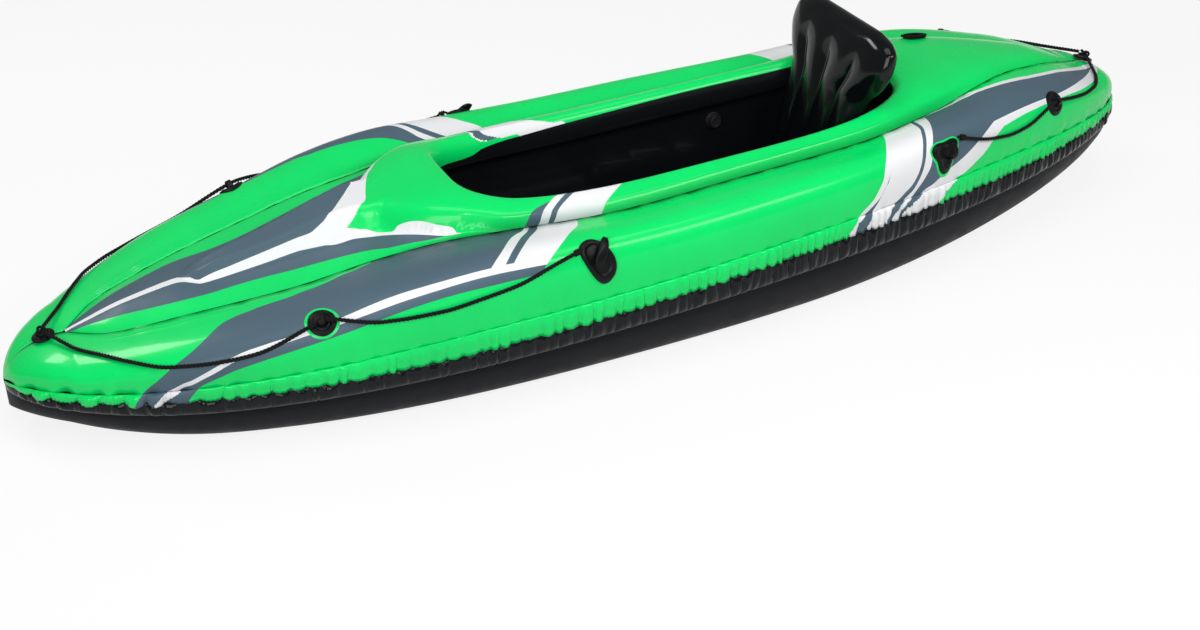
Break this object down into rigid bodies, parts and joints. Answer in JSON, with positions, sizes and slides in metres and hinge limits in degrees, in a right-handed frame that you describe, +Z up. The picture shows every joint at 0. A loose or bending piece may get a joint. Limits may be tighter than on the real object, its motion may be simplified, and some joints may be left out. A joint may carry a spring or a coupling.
{
  "type": "inflatable kayak",
  "caption": "Inflatable kayak with side chambers, a decked bow, an open cockpit with ribbed floor, seat and folding backrest, flip-cap valves, grab handles and a lifeline.",
  "frame": {"origin": "on the ground under mid-length, on the centreline", "axes": "+X towards the bow, +Y to port, +Z up"},
  "size_m": [2.704, 0.803, 0.5361],
  "materials": {
    "green_vinyl": "semi-gloss vinyl sheet",
    "black_vinyl": "semi-gloss vinyl sheet",
    "bottom_vinyl": "matte vinyl sheet",
    "moulded_vinyl": "satin moulding",
    "rope": "twisted rope",
    "valve_plastic": "satin moulding",
    "valve_rubber": "matte"
  },
  "bodies": {
    "hull": {"bottom_chamber": "bottom_vinyl", "bow_deck_chamber": "green_vinyl", "bow_eyelet": "moulded_vinyl", "bow_knot": "rope", "cockpit_liner": "black_vinyl", "deck_chamber": "green_vinyl", "floor_chamber": "black_vinyl", "floor_valve_base": "valve_plastic", "floor_valve_flap": "valve_rubber", "port_aft_eyelet": "moulded_vinyl", "port_aft_rope": "rope", "port_black_gather_band": "black_vinyl", "port_fore_eyelet": "moulded_vinyl", "port_fore_rope": "rope", "port_green_gather_band": "green_vinyl", "port_handle": "moulded_vinyl", "port_handle_knot": "rope", "port_side_chamber": "green_vinyl", "port_tie_knot": "rope", "port_tie_patch": "moulded_vinyl", "port_valve_base": "valve_plastic", "port_valve_flap": "valve_rubber", "seat_cushion": "black_vinyl", "seat_valve_base": "valve_plastic", "starboard_aft_eyelet": "moulded_vinyl", "starboard_aft_rope": "rope", "starboard_black_gather_band": "black_vinyl", "starboard_fore_eyelet": "moulded_vinyl", "starboard_fore_rope": "rope", "starboard_green_gather_band": "green_vinyl", "starboard_handle": "moulded_vinyl", "starboard_handle_knot": "rope", "starboard_side_chamber": "green_vinyl", "starboard_tie_knot": "rope", "starboard_tie_patch": "moulded_vinyl", "starboard_valve_base": "valve_plastic", "starboard_valve_flap": "valve_rubber", "stern_eyelet": "moulded_vinyl", "stern_knot": "rope", "tie_cord_hank": "rope"},
    "backrest": {"backrest": "black_vinyl", "backrest_valve_base": "valve_plastic"},
    "port_valve_cap_body": {"port_valve_cap": "valve_plastic"},
    "starboard_valve_cap_body": {"starboard_valve_cap": "valve_plastic"},
    "floor_valve_cap_body": {"floor_valve_cap": "valve_plastic"},
    "seat_valve_cap_body": {"seat_valve_cap": "valve_plastic"},
    "backrest_valve_cap_body": {"backrest_valve_cap": "valve_plastic"}
  },
  "joints": [
    {"name": "backrest_fold", "type": "hinge", "parent": "hull", "child": "backrest", "pos_m": [-0.48, 0, 0.094], "axis": [0, 1, 0], "range_deg": [0, 35]},
    {"name": "port_valve_cap_flip", "type": "hinge", "parent": "hull", "child": "port_valve_cap_body", "pos_m": [-0.375, 0.20398, 0.2505], "axis": [-1, 0, 0], "range_deg": [0, 150]},
    {"name": "starboard_valve_cap_flip", "type": "hinge", "parent": "hull", "child": "starboard_valve_cap_body", "pos_m": [-0.375, -0.20398, 0.2505], "axis": [1, 0, 0], "range_deg": [0, 150]},
    {"name": "floor_valve_cap_flip", "type": "hinge", "parent": "hull", "child": "floor_valve_cap_body", "pos_m": [0.2885, 0, 0.10667], "axis": [0, 1, 0], "range_deg": [0, 150]},
    {"name": "seat_valve_cap_flip", "type": "hinge", "parent": "hull", "child": "seat_valve_cap_body", "pos_m": [-0.1327, 0, 0.15344], "axis": [0, 1, 0], "range_deg": [0, 150]},
    {"name": "backrest_valve_cap_flip", "type": "hinge", "parent": "backrest", "child": "backrest_valve_cap_body", "pos_m": [-0.59395, 0.037, 0.31], "axis": [0, 1, 0], "range_deg": [0, 150]}
  ]
}
